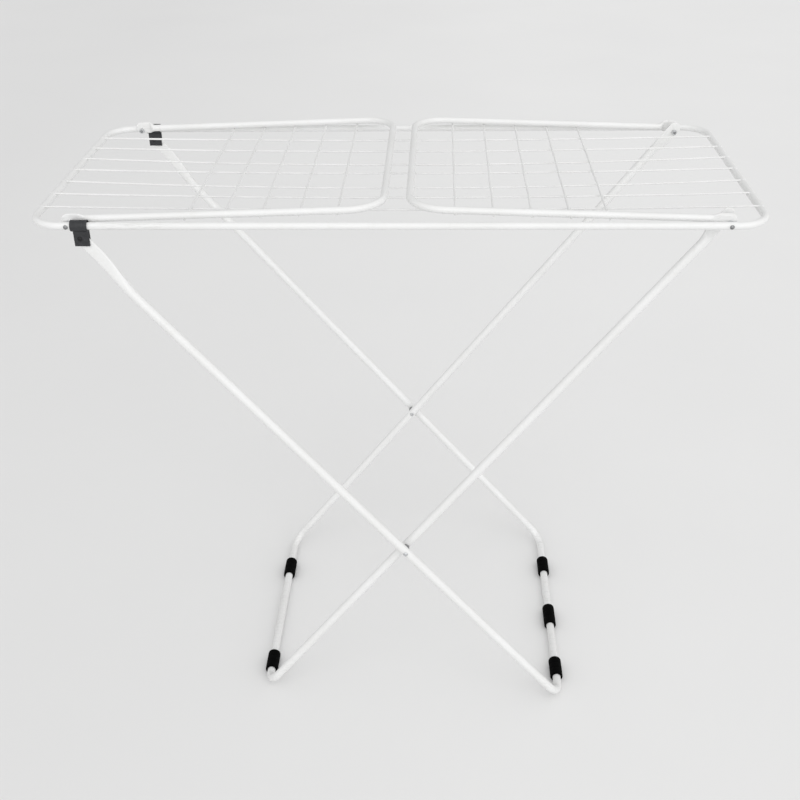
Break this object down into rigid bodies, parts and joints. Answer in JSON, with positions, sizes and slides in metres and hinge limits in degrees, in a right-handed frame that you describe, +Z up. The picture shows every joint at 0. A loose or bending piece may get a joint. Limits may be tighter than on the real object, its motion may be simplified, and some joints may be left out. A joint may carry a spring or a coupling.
{
  "type": "clothes_airer",
  "caption": "Folding clothes airer: a wired frame on crossed U-shaped tube legs, with two wired wings hinged on its long rails, sliding clips and rubber feet",
  "frame": {"origin": "On the floor, under the middle of the top frame: the bottom centre of the bounding box", "axes": "+X along the frame from the clip end to the end where the inner leg is bolted, -Y the near long side, +Y the far long side, +Z up"},
  "size_m": [1.1684, 0.5424, 1.028],
  "materials": {
    "frame_tube": "semi-gloss powder coat",
    "wing_tube": "semi-gloss powder coat",
    "leg_tube": "semi-gloss powder coat",
    "wire": "semi-gloss powder coat",
    "zinc_hardware": "bright zinc plate",
    "black_rivet": "blackened steel",
    "clip_plastic": "satin moulded plastic",
    "spacer_plastic": "satin moulded plastic",
    "foot_rubber": "matt rubber"
  },
  "bodies": {
    "main_frame": {"main_frame_tube": "frame_tube", "main_wire_1": "wire", "main_wire_2": "wire", "main_wire_3": "wire", "main_wire_4": "wire", "main_wire_5": "wire", "main_wire_6": "wire", "main_wire_7": "wire", "near_left_wing_bolt": "zinc_hardware", "far_left_wing_bolt": "zinc_hardware", "near_left_wing_washer": "zinc_hardware", "far_left_wing_washer": "zinc_hardware", "near_left_wing_nut": "zinc_hardware", "far_left_wing_nut": "zinc_hardware", "near_right_wing_bolt": "zinc_hardware", "far_right_wing_bolt": "zinc_hardware", "near_right_wing_washer": "zinc_hardware", "far_right_wing_washer": "zinc_hardware", "near_right_wing_nut": "zinc_hardware", "far_right_wing_nut": "zinc_hardware", "near_right_hinge_spacer": "zinc_hardware", "far_right_hinge_spacer": "zinc_hardware"},
    "left_wing": {"left_wing_tube": "wing_tube", "left_wing_wire_1": "wire", "left_wing_wire_2": "wire", "left_wing_wire_3": "wire", "left_wing_wire_4": "wire", "left_wing_wire_5": "wire"},
    "right_wing": {"right_wing_tube": "wing_tube", "right_wing_wire_1": "wire", "right_wing_wire_2": "wire", "right_wing_wire_3": "wire", "right_wing_wire_4": "wire", "right_wing_wire_5": "wire"},
    "inner_leg": {"inner_leg_tube": "leg_tube", "inner_leg_pad_1": "foot_rubber", "inner_leg_pad_2": "foot_rubber", "near_crossing_rivet": "zinc_hardware", "far_crossing_rivet": "zinc_hardware", "near_crossing_spacer": "spacer_plastic", "far_crossing_spacer": "spacer_plastic"},
    "outer_leg": {"outer_leg_tube": "leg_tube", "outer_leg_pad_1": "foot_rubber", "outer_leg_pad_2": "foot_rubber", "outer_leg_pad_3": "foot_rubber"},
    "near_clip": {"near_clip": "clip_plastic", "near_clip_rivet": "black_rivet"},
    "far_clip": {"far_clip": "clip_plastic", "far_clip_rivet": "black_rivet"}
  },
  "joints": [
    {"name": "leg_fold", "type": "hinge", "parent": "main_frame", "child": "inner_leg", "pos_m": [0.5155, 0, 1], "axis": [0, -1, 0], "range_deg": [0, 25]},
    {"name": "leg_crossing", "type": "hinge", "parent": "inner_leg", "child": "outer_leg", "pos_m": [0.009, 0, 0.367], "axis": [0, 1, 0], "range_deg": [0, 49.62]},
    {"name": "near_clip_turn", "type": "hinge", "parent": "outer_leg", "child": "near_clip", "pos_m": [-0.4965, -0.261, 0.98], "axis": [0, -1, 0], "range_deg": [0, 24.62]},
    {"name": "far_clip_turn", "type": "hinge", "parent": "outer_leg", "child": "far_clip", "pos_m": [-0.4965, 0.261, 0.98], "axis": [0, -1, 0], "range_deg": [0, 24.62]},
    {"name": "left_wing_hinge", "type": "hinge", "parent": "main_frame", "child": "left_wing", "pos_m": [-0.5155, 0, 1], "axis": [0, -1, 0], "range_deg": [0, 152]},
    {"name": "right_wing_hinge", "type": "hinge", "parent": "main_frame", "child": "right_wing", "pos_m": [0.5155, 0, 1], "axis": [0, 1, 0], "range_deg": [0, 152]}
  ],
  "couplings": [
    {"joint": "leg_crossing", "follows": "leg_fold", "ratio": 1.985},
    {"joint": "near_clip_turn", "follows": "leg_fold", "ratio": 0.985},
    {"joint": "far_clip_turn", "follows": "leg_fold", "ratio": 0.985}
  ]
}
